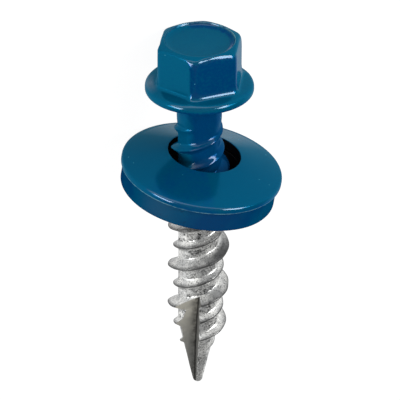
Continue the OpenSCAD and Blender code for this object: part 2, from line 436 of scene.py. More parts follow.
class Tree:
    """Short ways to add and join nodes in one tree."""

    def __init__(self, tree: bpy.types.NodeTree) -> None:
        """Keeps the tree."""
        self.tree = tree

    def add(self, kind: str, **settings: object) -> bpy.types.Node:
        """Adds a node.

        Args:
            kind: The node's type name.
            settings: Properties of the node, or with a leading "in_" values of
                its inputs by name, spaces as underscores.

        Returns:
            The node.
        """
        node = self.tree.nodes.new(kind)
        for key, value in settings.items():
            if not key.startswith("in_"):
                setattr(node, key, value)
        for key, value in settings.items():
            if key.startswith("in_"):
                node.inputs[key[3:].replace("_", " ")].default_value = value
        return node

    def join(self, source: Socket, target: Socket) -> None:
        """Links two sockets."""
        self.tree.links.new(source, target)

    def value(self, name: str) -> Socket:
        """The number that the attribute of that name holds."""
        return self.add("ShaderNodeAttribute", attribute_name=name).outputs["Fac"]

    def aside(self) -> Socket:
        """How far the surface faces away from the eye, from 0 square on to 1 edge on."""
        return self.add("ShaderNodeLayerWeight", in_Blend=0.5).outputs["Facing"]

    def noise(self, place: Socket, scale: float, detail: float = 3.0, rough: float = 0.5) -> Socket:
        """Noise over some coordinates.

        Args:
            place: The coordinates.
            scale: Lumps in one unit.
            detail: Octaves.
            rough: How strong each finer octave is.

        Returns:
            The noise, from 0 to 1.
        """
        node = self.add("ShaderNodeTexNoise", in_Scale=scale, in_Detail=detail, in_Roughness=rough)
        self.join(place, node.inputs["Vector"])
        return node.outputs["Fac"]

    def span(self, value: Socket, low: float, high: float, out_low: float = 0.0,
             out_high: float = 1.0) -> Socket:
        """Maps a value from one range to another, clamped and eased.

        Args:
            value: The value.
            low: Start of its range.
            high: End of its range.
            out_low: What the start becomes.
            out_high: What the end becomes.

        Returns:
            The mapped value.
        """
        node = self.add("ShaderNodeMapRange", interpolation_type="SMOOTHSTEP")
        for index, number in ((1, low), (2, high), (3, out_low), (4, out_high)):
            node.inputs[index].default_value = number
        self.join(value, node.inputs[0])
        return node.outputs[0]

    def bump(self, height: Socket, depth: float) -> Socket:
        """Normal of a surface that a height raises.

        Args:
            height: The height.
            depth: What a height of 1 is in millimetres.

        Returns:
            The normal.
        """
        node = self.add("ShaderNodeBump", in_Strength=1.0, in_Distance=depth * MM)
        self.join(height, node.inputs["Height"])
        return node.outputs[0]

    def math(self, kind: str, a: Socket | float, b: Socket | float) -> Socket:
        """One sum, product or the like of two values.

        Args:
            kind: The operation.
            a: First value.
            b: Second value.

        Returns:
            The result.
        """
        node = self.add("ShaderNodeMath", operation=kind)
        for socket, value in zip(node.inputs, (a, b)):
            if isinstance(value, Socket):
                self.join(value, socket)
            else:
                socket.default_value = value
        return node.outputs[0]

    def blend(self, amount: Socket | float, first: object, second: object) -> Socket:
        """Mixes two colours.

        Args:
            amount: How much of the second shows.
            first: A colour, as a socket or a tuple.
            second: Another one.

        Returns:
            The mixed colour.
        """
        node = self.add("ShaderNodeMix", data_type="RGBA", blend_type="MIX")
        for socket, value in ((node.inputs[0], amount), (node.inputs[6], first), (node.inputs[7], second)):
            if isinstance(value, Socket):
                self.join(value, socket)
            else:
                socket.default_value = value
        return node.outputs[2]


def colour(red: float, green: float, blue: float) -> tuple[float, float, float, float]:
    """A colour written in screen values, as linear light.

    Args:
        red: Red from 0 to 255.
        green: Green from 0 to 255.
        blue: Blue from 0 to 255.

    Returns:
        Red, green and blue from 0 to 1, and an opaque 1.
    """
    scaled = [value / 255.0 for value in (red, green, blue)]
    return tuple(v / 12.92 if v <= 0.04045 else ((v + 0.055) / 1.055) ** 2.4 for v in scaled) + (1.0,)


class Effect(Enum):
    """Shader groups that several finishes share."""

    ORANGE_PEEL = "orange_peel"
    SPECKS = "specks"
    MOTTLE = "mottle"


def effect(kind: Effect) -> bpy.types.NodeTree:
    """The node group of one effect, built the first time it is asked for.

    Args:
        kind: Which effect.

    Returns:
        The group, with its coordinates in millimetres as first input.
    """
    known = bpy.data.node_groups.get(kind.value)
    if known:
        return known
    inputs, output = {
        Effect.ORANGE_PEEL: ({"Scale": 2.0}, "Height"),
        Effect.SPECKS: ({"Scale": 1.0, "Size": 0.05}, "Mask"),
        Effect.MOTTLE: ({"Scale": 3.0, "Low": 0.45, "High": 0.62}, "Mask"),
    }[kind]
    group = bpy.data.node_groups.new(kind.value, "ShaderNodeTree")
    face = group.interface
    face.new_socket("Place", in_out="INPUT", socket_type="NodeSocketVector")
    for name, value in inputs.items():
        face.new_socket(name, in_out="INPUT", socket_type="NodeSocketFloat").default_value = value
    face.new_socket(output, in_out="OUTPUT", socket_type="NodeSocketFloat")
    tree = Tree(group)
    start = tree.add("NodeGroupInput")
    if kind is Effect.ORANGE_PEEL:
        texture = tree.add("ShaderNodeTexNoise", in_Detail=2.0, in_Roughness=0.45)
        broad = tree.noise(start.outputs["Place"], 0.55, 1.0)
        result = tree.math("ADD", texture.outputs["Fac"], tree.math("MULTIPLY", broad, 2.2))
    elif kind is Effect.SPECKS:
        texture = tree.add("ShaderNodeTexVoronoi", feature="F1")
        near = tree.math("LESS_THAN", texture.outputs["Distance"], start.outputs["Size"])
        few = tree.add("ShaderNodeSeparateColor")
        tree.join(texture.outputs["Color"], few.inputs[0])
        result = tree.math("MULTIPLY", near, tree.math("GREATER_THAN", few.outputs[0], 0.55))
    else:
        texture = tree.add("ShaderNodeTexNoise", in_Detail=5.0, in_Roughness=0.62, in_Distortion=0.4)
        result = tree.span(texture.outputs["Fac"], inputs["Low"], inputs["High"])
        tree.join(start.outputs["Low"], result.node.inputs[1])
        tree.join(start.outputs["High"], result.node.inputs[2])
    tree.join(start.outputs["Place"], texture.inputs["Vector"])
    tree.join(start.outputs["Scale"], texture.inputs["Scale"])
    end = tree.add("NodeGroupOutput")
    tree.join(result, end.inputs[output])
    return group


def place_effect(tree: Tree, kind: Effect, place: Socket, **values: float) -> Socket:
    """Puts an effect's group in a material.

    Args:
        tree: The material's tree.
        kind: Which effect.
        place: Coordinates in millimetres.
        values: The group's other inputs, by name.

    Returns:
        The group's output.
    """
    node = tree.add("ShaderNodeGroup", node_tree=effect(kind))
    tree.join(place, node.inputs["Place"])
    for name, value in values.items():
        node.inputs[name].default_value = value
    return node.outputs[0]


@dataclass(frozen=True)
class Mottle:
    """Cloudy patches: how many there are in a millimetre, and where in the noise they start and fill."""

    scale: float
    low: float
    high: float

    def on(self, tree: Tree, place: Socket) -> Socket:
        """Mask of the patches, from 0 to 1."""
        return place_effect(tree, Effect.MOTTLE, place, Scale=self.scale, Low=self.low, High=self.high)


def begin(name: str) -> tuple[Finish, Tree, bpy.types.Node, Socket]:
    """Starts a material.

    Args:
        name: The material's name.

    Returns:
        The material, its tree, its Principled shader and coordinates in
        millimetres.
    """
    material = bpy.data.materials.new(name)
    material.use_nodes = True
    tree = Tree(material.node_tree)
    material.node_tree.nodes.clear()
    shader = tree.add("ShaderNodeBsdfPrincipled")
    out = tree.add("ShaderNodeOutputMaterial")
    tree.join(shader.outputs[0], out.inputs[0])
    coords = tree.add("ShaderNodeTexCoord")
    scale = tree.add("ShaderNodeMapping", vector_type="POINT")
    scale.inputs["Scale"].default_value = (1 / MM, 1 / MM, 1 / MM)
    tree.join(coords.outputs["Object"], scale.inputs["Vector"])
    return material, tree, shader, scale.outputs[0]


@dataclass(frozen=True)
class GlossPaint:
    """Thick blue gloss paint with a slight orange peel and a few specks of dust."""

    name: str
    deep: tuple = colour(0, 63, 113)
    teal: tuple = colour(0, 82, 117)
    speck: tuple = colour(60, 140, 165)
    # Pale teal for the painted highlight on the dish rim and the lighter line on the cap's lip.
    wear_and_painted_light: tuple = colour(120, 168, 178)
    flake: float = 0.32
    rim_tint: tuple = (0.6, 0.9, 0.95, 1.0)
    roughness: float = 0.16
    coat_roughness: float = 0.1
    coat_ior: float = 1.62
    gloss: float = 1.0
    gloss_aside: float = 0.03
    gloss_from: float = 0.14
    gloss_to: float = 0.2
    peel: float = 0.006
    peel_scale: float = 2.4
    streaks: float = 0.12
    speck_scale: float = 1.3
    speck_size: float = 0.06

    def build(self) -> Finish:
        """Makes the material.

        The teal share goes from deep blue at 0 to teal at 1: its teal is painted
        reflection, and its deep blue in places painted shade. A second attribute
        lightens the paint towards a pale teal: a painted highlight on the head's
        dish rim, and a lighter line on the cap's lip. The gloss is a coat whose
        weight falls from "gloss", seen square on, to "gloss_aside", seen edge on,
        so that the paint stays deep at its edges, and is at least what the
        attribute "glaze" holds. "flake" is the tinted reflection below it.

        Returns:
            The material.
        """
        material, tree, shader, place = begin(self.name)
        film = tree.value("film")
        cloud = tree.math("MULTIPLY", tree.noise(place, 0.5, 2.0, 0.45), 0.5)
        fine = tree.span(tree.noise(place, 4.5, 3.0, 0.6), 0.3, 0.7, -self.streaks, self.streaks)
        cloud = tree.math("ADD", cloud, fine)
        # Deep blue to teal by the teal share, which is painted reflection and in places painted shade; the
        # noise adds unevenness of tone.
        paint = tree.blend(tree.span(tree.math("ADD", film, cloud), 0.1, 1.1), self.deep, self.teal)
        specks = place_effect(tree, Effect.SPECKS, place, Scale=self.speck_scale, Size=self.speck_size)
        # Patchy lightening towards the pale teal: a painted highlight on the head, a lighter line on the
        # cap's lip.
        uneven = tree.span(tree.noise(place, 3.0, 3.0), 0.35, 0.55, 0.25, 0.9)
        lightened = tree.math("MULTIPLY", tree.value("wear_and_painted_light"), uneven)
        paint = tree.blend(specks, paint, self.speck)
        tree.join(tree.blend(lightened, paint, self.wear_and_painted_light), shader.inputs["Base Color"])
        shader.inputs["Roughness"].default_value = self.roughness
        shader.inputs["Specular IOR Level"].default_value = 0.0
        shader.inputs["Specular Tint"].default_value = self.rim_tint
        shader.inputs["Coat Roughness"].default_value = self.coat_roughness
        shader.inputs["Coat IOR"].default_value = self.coat_ior
        aside = tree.aside()
        tree.join(tree.span(aside, 0.72, 0.92, self.flake, 0.0), shader.inputs["Metallic"])
        steep = tree.span(aside, self.gloss_from, self.gloss_to, self.gloss, self.gloss_aside)
        glossy = tree.math("MAXIMUM", steep, tree.value("glaze"))
        edge = tree.span(aside, 0.88, 0.97, 1.0, 0.0)
        tree.join(tree.math("MULTIPLY", glossy, edge), shader.inputs["Coat Weight"])
        skin = tree.bump(place_effect(tree, Effect.ORANGE_PEEL, place, Scale=self.peel_scale), self.peel)
        tree.join(skin, shader.inputs["Normal"])
        tree.join(skin, shader.inputs["Coat Normal"])
        return material


@dataclass(frozen=True)
class ZincPlate:
    """Bright zinc on rolled steel, cloudy, with dark mottling in the roots, and painted shade along the
    crests and on the right flanks.
    """

    name: str
    bright: tuple = colour(240, 240, 237)
    cloudy: tuple = colour(202, 203, 202)
    dark: tuple = colour(52, 53, 54)
    # Grey of the painted shade on the flanks.
    painted_shade: tuple = colour(84, 85, 86)
    rim_tint: tuple = (0.5, 0.5, 0.51, 1.0)
    metallic: float = 0.66
    grain: float = 0.013
    clouds: Mottle = Mottle(1.1, 0.4, 0.62)
    blots: Mottle = Mottle(1.6, 0.44, 0.56)
    speckle: Mottle = Mottle(6.5, 0.46, 0.54)
    pits: Mottle = Mottle(8.0, 0.53, 0.6)

    def build(self) -> Finish:
        """Makes the material.

        The attribute "root" is 1 between the ridges, and "crest" 1 on their
        edges, which painted shade darkens. A third attribute is 1 where painted
        shade greys the flanks.

        Returns:
            The material.
        """
        material, tree, shader, place = begin(self.name)
        zinc = tree.blend(self.clouds.on(tree, place), self.bright, self.cloudy)
        spread = tree.span(tree.noise(place, 0.7, 2.0), 0.42, 0.6)
        patches = tree.math("MULTIPLY", self.blots.on(tree, place), self.speckle.on(tree, place))
        stain = tree.math("MULTIPLY", patches, tree.value("root"))
        stain = tree.math("MULTIPLY", stain, tree.span(spread, 0.0, 1.0, 0.6, 1.0))
        zinc = tree.blend(stain, zinc, self.dark)
        zinc = tree.blend(tree.math("MULTIPLY", self.pits.on(tree, place), 0.65), zinc, self.dark)
        # Painted shade: grey on the flanks, and dark lines along the crests.
        zinc = tree.blend(tree.math("MULTIPLY", tree.value("painted_shade"), 0.85), zinc, self.painted_shade)
        zinc = tree.blend(tree.math("MULTIPLY", tree.value("crest"), 0.85), zinc, self.dark)
        tree.join(zinc, shader.inputs["Base Color"])
        shader.inputs["Metallic"].default_value = self.metallic
        shader.inputs["Specular Tint"].default_value = self.rim_tint
        shine = tree.span(tree.noise(place, 1.9, 4.0), 0.3, 0.7, 0.24, 0.42)
        tree.join(shine, shader.inputs["Roughness"])
        lumps = tree.math("MULTIPLY", tree.noise(place, 1.5, 2.0), 2.0)
        grain = tree.math("ADD", tree.noise(place, 6.0, 4.0, 0.6), lumps)
        tree.join(tree.bump(grain, self.grain), shader.inputs["Normal"])
        return material


@dataclass(frozen=True)
class MilledSteel:
    """Bare milled steel in the notch, nearly smooth, darker in patches towards the notch's wall, with
    painted shade in its corner.
    """

    name: str
    across: tuple
    wall: float
    upper: tuple = colour(184, 181, 170)
    lower: tuple = colour(142, 142, 138)
    # Dark for the patches before the wall and the painted shade in the corner.
    notch_dark: tuple = colour(44, 43, 41)
    side: tuple = colour(112, 112, 109)
    metallic: float = 0.35
    roughness: float = 0.42
    grain: float = 0.006
    dark_reach: float = 0.75
    corner_reach: float = 0.14
    clouds: Mottle = Mottle(1.4, 0.42, 0.7)

    def build(self) -> Finish:
        """Makes the material.

        The attribute "down" runs from 0 to 1 at the tip. "across" is the
        direction from the notch's open side to its wall, which stands at "wall"
        millimetres; the steel darkens in patches before the wall, and painted
        shade darkens the corner.

        Returns:
            The material.
        """
        material, tree, shader, place = begin(self.name)
        steel = tree.blend(tree.span(tree.value("down"), 0.1, 0.8), self.upper, self.lower)
        steel = tree.blend(tree.math("MULTIPLY", self.clouds.on(tree, place), 0.3), steel, self.lower)
        reach = tree.add("ShaderNodeVectorMath", operation="DOT_PRODUCT")
        tree.join(place, reach.inputs[0])
        reach.inputs[1].default_value = self.across
        wave = tree.math("MULTIPLY", tree.noise(place, 2.5, 3.0), 0.08)
        wavy = tree.math("ADD", reach.outputs["Value"], wave)
        # Darker in patches towards the wall.
        darkened = tree.span(wavy, self.wall - self.dark_reach, self.wall - 0.1, 0.0, 0.8)
        patchy = tree.span(tree.noise(place, 1.8, 4.0, 0.6), 0.35, 0.65, 0.3, 1.0)
        steel = tree.blend(tree.math("MULTIPLY", darkened, patchy), steel, self.notch_dark)
        # Painted shade: a dark band in the corner before the wall.
        corner = tree.span(wavy, self.wall - self.corner_reach, self.wall - 0.02, 0.0, 0.9)
        steel = tree.blend(corner, steel, self.notch_dark)
        on_wall = tree.math("GREATER_THAN", reach.outputs["Value"], self.wall - 0.006)
        steel = tree.blend(on_wall, steel, self.side)
        tree.join(steel, shader.inputs["Base Color"])
        shader.inputs["Metallic"].default_value = self.metallic
        shader.inputs["Roughness"].default_value = self.roughness
        tree.join(tree.bump(tree.noise(place, 5.0, 3.0), self.grain), shader.inputs["Normal"])
        return material


@dataclass(frozen=True)
class Rubber:
    """Rubber with blue overspray on its outer edge and black inside."""

    name: str
    edge: tuple = colour(0, 50, 91)
    edge_teal: tuple = colour(0, 64, 97)
    black: tuple = colour(20, 22, 26)
    coat: float = 0.4
    coat_roughness: float = 0.3
    grain: float = 0.02
    scuffs: Mottle = Mottle(2.0, 0.58, 0.75)

    def build(self) -> Finish:
        """Makes the material. The attribute "sprayed" is 1 on the outer edge.

        Returns:
            The material.
        """
        material, tree, shader, place = begin(self.name)
        patches = tree.span(tree.noise(place, 0.3, 2.0), 0.38, 0.62)
        blue = tree.blend(patches, self.edge, self.edge_teal)
        blue = tree.blend(tree.math("MULTIPLY", self.scuffs.on(tree, place), 0.35), blue, self.black)
        tree.join(tree.blend(tree.value("sprayed"), self.black, blue), shader.inputs["Base Color"])
        shader.inputs["Specular IOR Level"].default_value = 0.0
        shader.inputs["Coat Roughness"].default_value = self.coat_roughness
        tree.join(tree.span(tree.aside(), 0.1, 0.45, self.coat, 0.0), shader.inputs["Coat Weight"])
        tree.join(tree.span(tree.noise(place, 2.0, 3.0), 0.3, 0.7, 0.5, 0.7), shader.inputs["Roughness"])
        tree.join(tree.bump(tree.noise(place, 3.5, 4.0), self.grain), shader.inputs["Normal"])
        return material


# Pieces


@dataclass
class Head:
    """Hex, dish and flange of the screw, one skin over a round grid.

    Sizes are in millimetres and angles in degrees, as in all the pieces. The
    sectors are where painted shade darkens the dish's wall, and where the
    paint shines most.
    """

    lie: Attitude
    hex_af: float = 6.35
    head_h: float = 4.58
    top_tilt: float = 1.0
    hex_turn: float = 7.2
    rest_rock: float = 2.0
    corner_round: float = 0.6
    front_round: float = 0.85
    flare_h: float = 0.24
    flare_w: float = 0.22
    chamfer_drop: float = 0.33
    rim_w: float = 0.05
    dish_d: float = 5.6
    wall_foot_r: float = 2.76
    dish_depth: float = 0.34
    flange_d: float = 8.7
    flange_t: float = 0.66
    flange_rise: float = 0.24
    flange_round: float = 0.22
    bowl: float = 0.08
    columns: int = 432
    dish_zone: float = 0.6
    full_film: float = 0.82
    # Painted shade on the dish's wall, to the right and at the back.
    shaded_right_wall: Sector = Sector(102.0, 60.0, 25.0)
    shaded_back_wall: Sector = Sector(176.0, 30.0, 15.0)
    glossy_flange: Sector = Sector(-84.0, 26.0, 26.0)
    glossy_wall: Sector = Sector(68.0, 24.0, 24.0)
    glossy_face: Sector = Sector(81.0, 31.0, 8.0)

    @property
    def mouth_r(self) -> float:
        """Radius of the rim round the dish, at the middle of its width."""
        return self.dish_d / 2 + self.rim_w / 2

    def hex_radius(self, angle: np.ndarray) -> np.ndarray:
        """Distance of the rounded hexagon from its middle.

        Within a sixth, the flat lies at a / cos(t), and the corner is a circle
        of radius q whose middle is (a - q) / cos(30) out on the corner's line.

        Args:
            angle: Angle round the axis in the screw's frame, in radians.

        Returns:
            The radius in millimetres.
        """
        sixth = math.pi / 3
        a = self.hex_af / 2
        corner = math.radians(270.0 - self.hex_turn)
        q = np.where(np.cos(angle - corner) > math.cos(sixth / 2), self.front_round, self.corner_round)
        off = np.abs((angle - corner + sixth / 2) % sixth - sixth / 2)
        flat = a / np.cos(sixth / 2 - off)
        middle = (a - q) / math.cos(sixth / 2)
        root = np.sqrt(np.maximum(q * q - (middle * np.sin(off)) ** 2, 0.0))
        arc = middle * np.cos(off) + root
        start = np.arctan2((a - q) * math.tan(sixth / 2), a)
        return np.where(sixth / 2 - off < start, flat, arc)

    def full_edges(self, angle: np.ndarray) -> np.ndarray:
        """How thickly the paint rounds the hex's edges, from 0 to 1.

        The paint has run thick on the faces to the right of the front corner and
        thin on the face to the left of it.

        Args:
            angle: Angle round the axis in the screw's frame, in radians.

        Returns:
            The fullness at each angle.
        """
        corner = math.radians(270.0 - self.hex_turn)
        off = np.degrees((angle - corner + math.pi) % TURN - math.pi)
        left = ramp(off, -2.0, -11.0) * ramp(off, -78.0, -62.0)
        return (1.0 - 0.85 * ease(left)) * (1.0 - 0.35 * tent(off, 2.0, 9.0))

    def skin(self) -> tuple[np.ndarray, list]:
        """The head's skin.

        Each column is the outline from the middle of the bearing face over the
        flange, up a face of the hex and over the chamfer into the dish. The top
        is tilted: its height grows with the distance to the back.

        Returns:
            Points in millimetres, and faces.
        """
        angle = np.arange(self.columns) * TURN / self.columns
        face = self.hex_radius(angle)
        foot = self.flange_t + self.flange_rise
        mouth = self.mouth_r
        slope = self.chamfer_drop / (self.hex_af / 2 / math.cos(math.pi / 6) - mouth)
        rise = math.tan(math.radians(self.top_tilt)) * np.sin(angle)
        ones = np.ones_like(angle)
        bottom = self.head_h - self.dish_depth
        full = self.full_edges(angle)
        fill = 0.5 + 0.65 * full
        outline = [
            (0 * ones, 0 * ones, 0.0, 0.0),
            (self.flange_d / 2 * ones, 0 * ones, self.flange_round, self.flange_round),
            (self.flange_d / 2 * ones, self.flange_t * ones, 0.3, 0.36),
            (face + self.flare_w * fill, foot * ones, 0.1, 0.1 * fill),
            (face, foot + self.flare_h * fill, 0.06 + 0.26 * full, 0.06 + 0.74 * full),
            (face, self.head_h - slope * (face - mouth) + rise * face, 0.08 + 0.85 * full, 0.1 + 0.2 * full),
            (mouth * ones, self.head_h + rise * mouth, 0.14, 0.08),
            (self.wall_foot_r * ones, bottom + rise * self.wall_foot_r, 0.26, 0.65),
            (0 * ones, (bottom - self.bowl) * ones, 0.0, 0.0),
        ]
        corners = np.stack([np.stack([r, z], -1) for r, z, _, _ in outline], 1)
        reaches = np.stack([np.stack([first * ones, then * ones], -1) for _, _, first, then in outline], 1)
        line = rounded(corners, reaches, 9, 3)
        ring = line[:, 1:-1]
        r, z = ring[..., 0].T, ring[..., 1].T
        points = np.stack([r * np.cos(angle), r * np.sin(angle), z], -1).reshape(-1, 3)
        points = np.vstack([[0.0, 0.0, 0.0], points, [0.0, 0.0, bottom - self.bowl]])
        return points, turned_faces(self.columns, ring.shape[1])

    def paint_shade_and_sheen(self, piece: bpy.types.Object, points: np.ndarray) -> None:
        """Changes the teal share for painted light.

        Painted shade turns the right and the back of the dish's wall deep blue, and
        painted reflection turns the hex's right side and the flange's roll teal.

        Args:
            piece: The painted head.
            points: Its points in the screw's frame, in millimetres.
        """
        out, z = from_axis(points), points[:, 2]
        film = read_values(piece.data, "film")
        # Painted shade: deep blue on the right and the back of the dish's wall.
        wall = tent(out, 2.6, 0.3) * (z > self.head_h - self.dish_zone)
        film -= 1.3 * wall * self.shaded_right_wall.on(points)
        film -= 1.2 * wall * self.shaded_back_wall.on(points)
        # Painted reflection: teal on the hex's right side and the flange's roll.
        side = ramp(from_front(points), 55.0, 65.0) * (out > 2.9)
        roll = ramp(out, 3.9, 4.1) * ramp(z, 0.14, 0.3)
        teal = np.maximum(0.9 * side, roll)
        write_values(piece.data, "film", self.full_film * np.maximum(np.clip(film, 0, 1), teal))

    def polish(self, piece: bpy.types.Object, points: np.ndarray) -> None:
        """Writes a painted highlight round the dish's rim, and "glaze", where the paint is glossiest.

        Args:
            piece: The painted head.
            points: Its points in the screw's frame, in millimetres.
        """
        out, z = from_axis(points), points[:, 2]
        # Painted highlight: a thin pale line round the dish's rim, brighter to the right.
        off_rim = np.abs(out - self.mouth_r) + (z < self.head_h - 0.15)
        brighter_right = np.clip(0.45 + 0.4 * points[:, 0] / self.mouth_r, 0.15, 0.8)
        write_values(piece.data, "wear_and_painted_light", ramp(off_rim, 0.045, 0.015) * brighter_right)
        flange_top = ramp(out, 3.55, 3.85) * ramp(out, 4.34, 4.19) * (z > 0.4) * (z < 1.2)
        wall = tent(out, 2.58, 0.16) * (z > self.head_h - self.dish_zone)
        face = (out > 3.0) * (out < 3.8) * (z > 1.1) * (z < self.head_h - 0.35)
        glaze = 0.55 * flange_top * self.glossy_flange.on(points)
        glaze = np.maximum(glaze, 0.75 * wall * self.glossy_wall.on(points))
        glaze = np.maximum(glaze, 0.26 * face * self.glossy_face.on(points))
        write_values(piece.data, "glaze", glaze)

    def build(self, paint: Finish) -> bpy.types.Object:
        """Makes the head, paints it and hands it to the frame.

        Args:
            paint: Its finish.

        Returns:
            The piece.
        """
        points, faces = self.skin()
        piece = new_piece("screw_head", self.lie.place(points), faces, 50.0)
        tint_teal_by_facing(piece, self.lie, 0.12)
        self.paint_shade_and_sheen(piece, points)
        self.polish(piece, points)
        piece.data.materials.append(paint)
        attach(piece, "root")
        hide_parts("screw")
        return piece


@dataclass
class Shank:
    """Neck, high-low thread, cone and tip as one helical grid, then notched.

    The length is 0.002 short of the solid's 27, so that the tip stays inside
    the solid's box.
    """

    lie: Attitude
    screw_l: float = 26.998
    neck_d: float = 3.6
    neck_l: float = 2.7
    neck_fillet: float = 0.3
    root_d: float = 3.26
    paint_t: float = 0.06
    paint_l: float = 7.4
    point_angle: float = 12.6
    tip_r: float = 0.4
    lead: float = 3.58
    high_d: float = 4.96
    low_d: float = 4.1
    high_flank: float = 30.0
    low_flank: float = 38.0
    high_crest_w: float = 0.12
    low_crest_w: float = 0.14
    high_start: float = 5.2
    high_run_in: float = 0.19
    low_run_in: float = 0.34
    high_run_out: float = 3.4
    low_run_out: float = 2.4
    plain_point: float = 2.9
    cutter_r: float = 21.0
    notch_low: float = 0.7
    notch_front: float = 0.03
    notch_side: float = 0.18
    notch_turn: float = 10.0
    columns: int = 168
    lines: int = 56
    top_z: float = 0.3
    wave: float = 0.008
    crest_wave: float = 0.012
    neck_taper: float = 1.4
    neck_taper_below: float = 1.0
    paint_step: float = 0.05
    paint_fade: float = 0.6
    cone_round: float = 0.12
    run_in_depth: float = 0.04
    full_ridge: float = 0.12
    bare_foot: float = 0.16
    painted_foot: float = 0.2
    bare_crest: float = 0.05
    painted_crest: float = 0.12
    milled_top_z: float = -17.5
    # Turn of the side that the painted shade on the zinc darkens, in degrees.
    shade_turn: float = 22.0
    clean_by_high: float = 0.55
    clean_by_low: float = 0.4
    # Painted shade: width of the dark crest lines, a faint grey on all ridges, and how dark the shaded side
    # gets.
    crest_line: tuple = (0.18, 0.06)
    ridge_dark: float = 0.14
    side_shade: float = 0.8

    @property
    def thread_low_z(self) -> float:
        """Height at which the thread has died out."""
        return self.plain_point - self.screw_l

    @property
    def ball_z(self) -> float:
        """Height of the middle of the tip's ball."""
        return self.tip_r - self.screw_l

    @property
    def ball_top_z(self) -> float:
        """Height at which the cone touches the tip's ball."""
        return self.ball_z - self.tip_r * math.sin(math.radians(self.point_angle))

    def body_radius(self, z: np.ndarray) -> np.ndarray:
        """Radius of the screw without its ridges.

        The neck eases into the painted root, the paint ends in a small step,
        the cone is cut into the root, and a ball closes it. A quarter circle
        flares the neck's top.

        Args:
            z: Height, in millimetres.

        Returns:
            The radius in millimetres.
        """
        root = self.root_d / 2
        painted = root + self.paint_t
        neck = self.neck_d / 2
        tapering = np.clip((z + self.neck_l + self.neck_taper_below) / self.neck_taper, 0, 1)
        upper = painted + (neck - painted) * ease(tapering)
        film = np.clip((z + self.paint_l) / self.paint_step + 0.5, 0, 1)
        straight = root + (upper - root) * film
        ball_z, low_z = self.ball_z, self.ball_top_z
        slope = math.radians(self.point_angle)
        cone = self.tip_r * math.cos(slope) + (z - low_z) * math.tan(slope)
        below_paint = z < -self.paint_l - 1
        tapered = np.where(below_paint, -smooth_max(-straight, -cone, self.cone_round), straight)
        ball = np.sqrt(np.maximum(self.tip_r**2 - np.minimum(z - ball_z, 0) ** 2, 0))
        up = np.clip(z + self.neck_fillet, 0, self.neck_fillet)
        flare = self.neck_fillet - np.sqrt(np.maximum(self.neck_fillet**2 - up**2, 0))
        return np.where(z < low_z, ball, tapered) + flare

    def crest_radius(self, z: np.ndarray, high: bool) -> np.ndarray:
        """Crest radius of one ridge, with its run-in and run-out.

        Args:
            z: Height, in millimetres.
            high: Whether it is the high ridge.

        Returns:
            The radius in millimetres, nowhere less than the body's.
        """
        full = (self.high_d if high else self.low_d) / 2
        growth = self.high_run_in if high else self.low_run_in
        length = self.high_run_out if high else self.low_run_out
        body = self.body_radius(z)
        rise = self.neck_d / 2 - self.run_in_depth + growth * (-self.neck_l - z)
        fade = np.clip((z - self.thread_low_z) / length, 0, 1)
        return np.maximum(body, np.minimum(np.minimum(rise, full), body + (full - self.root_d / 2) * fade))

    def drop_below_crest(self, angle: np.ndarray, z: np.ndarray) -> np.ndarray:
        """Distance along the axis from the high crest above, within one lead."""
        crest = -self.high_start + self.lead * (angle / TURN - 0.5)
        return (crest - z) % self.lead

    def radius(self, angle: np.ndarray, z: np.ndarray) -> np.ndarray:
        """Radius of the whole skin.

        A ridge is a roof: its crest's radius less the distance from the crest
        over the flank's tangent, blended into the root and cut flat on top.

        Args:
            angle: Angle round the axis in the screw's frame, in radians.
            z: Height, in millimetres.

        Returns:
            The radius in millimetres.
        """
        body = self.body_radius(z)
        painted = np.clip((z + self.paint_l) / self.paint_fade + 0.5, 0, 1)
        foot = self.bare_foot + self.painted_foot * painted
        cap = self.bare_crest + self.painted_crest * painted
        drop = self.drop_below_crest(angle, z)
        skin = body + self.wave * ripple(angle, z * 2.5, 3)
        for high, at in ((True, 0.0), (False, self.lead / 2)):
            away = np.abs((drop - at + self.lead / 2) % self.lead - self.lead / 2)
            width = self.high_crest_w if high else self.low_crest_w
            flank = math.radians(self.high_flank if high else self.low_flank)
            rough = self.crest_wave * ripple(angle, z, 5 if high else 6)
            crest = self.crest_radius(z, high) - self.crest_wave + rough
            roof = crest - (away - width / 2) / math.tan(flank)
            roof = -smooth_max(-roof, -crest, cap)
            grown = np.clip((crest - body) / self.full_ridge, 0, 1)
            ridge = body + (smooth_max(roof, skin, foot) - body) * grown + (skin - body) * (1 - grown)
            skin = np.where(grown > 0, ridge, skin)
        return skin

    def line_drops(self) -> np.ndarray:
        """Drops of the grid's lines within one lead, closer at crests and feet.

        The lines' density is 1 and a bell of height 3 at each crest and foot.
        Its running total, shared out evenly, gives the places.

        Returns:
            The drops in millimetres.
        """
        fine = np.linspace(0, self.lead, 4001)
        high_rise, low_rise = (self.high_d - self.root_d) / 2, (self.low_d - self.root_d) / 2
        high_foot = self.high_crest_w / 2 + high_rise * math.tan(math.radians(self.high_flank))
        low_foot = self.low_crest_w / 2 + low_rise * math.tan(math.radians(self.low_flank))
        half = self.lead / 2
        weight = np.ones_like(fine)
        for at in (0.0, high_foot, half - low_foot, half, half + low_foot, self.lead - high_foot, self.lead):
            weight += 3.0 * np.exp(-(((fine - at) / 0.11) ** 2))
        total = np.concatenate([[0], np.cumsum((weight[1:] + weight[:-1]) / 2)])
        return np.interp(np.arange(self.lines) / self.lines * total[-1], total, fine)

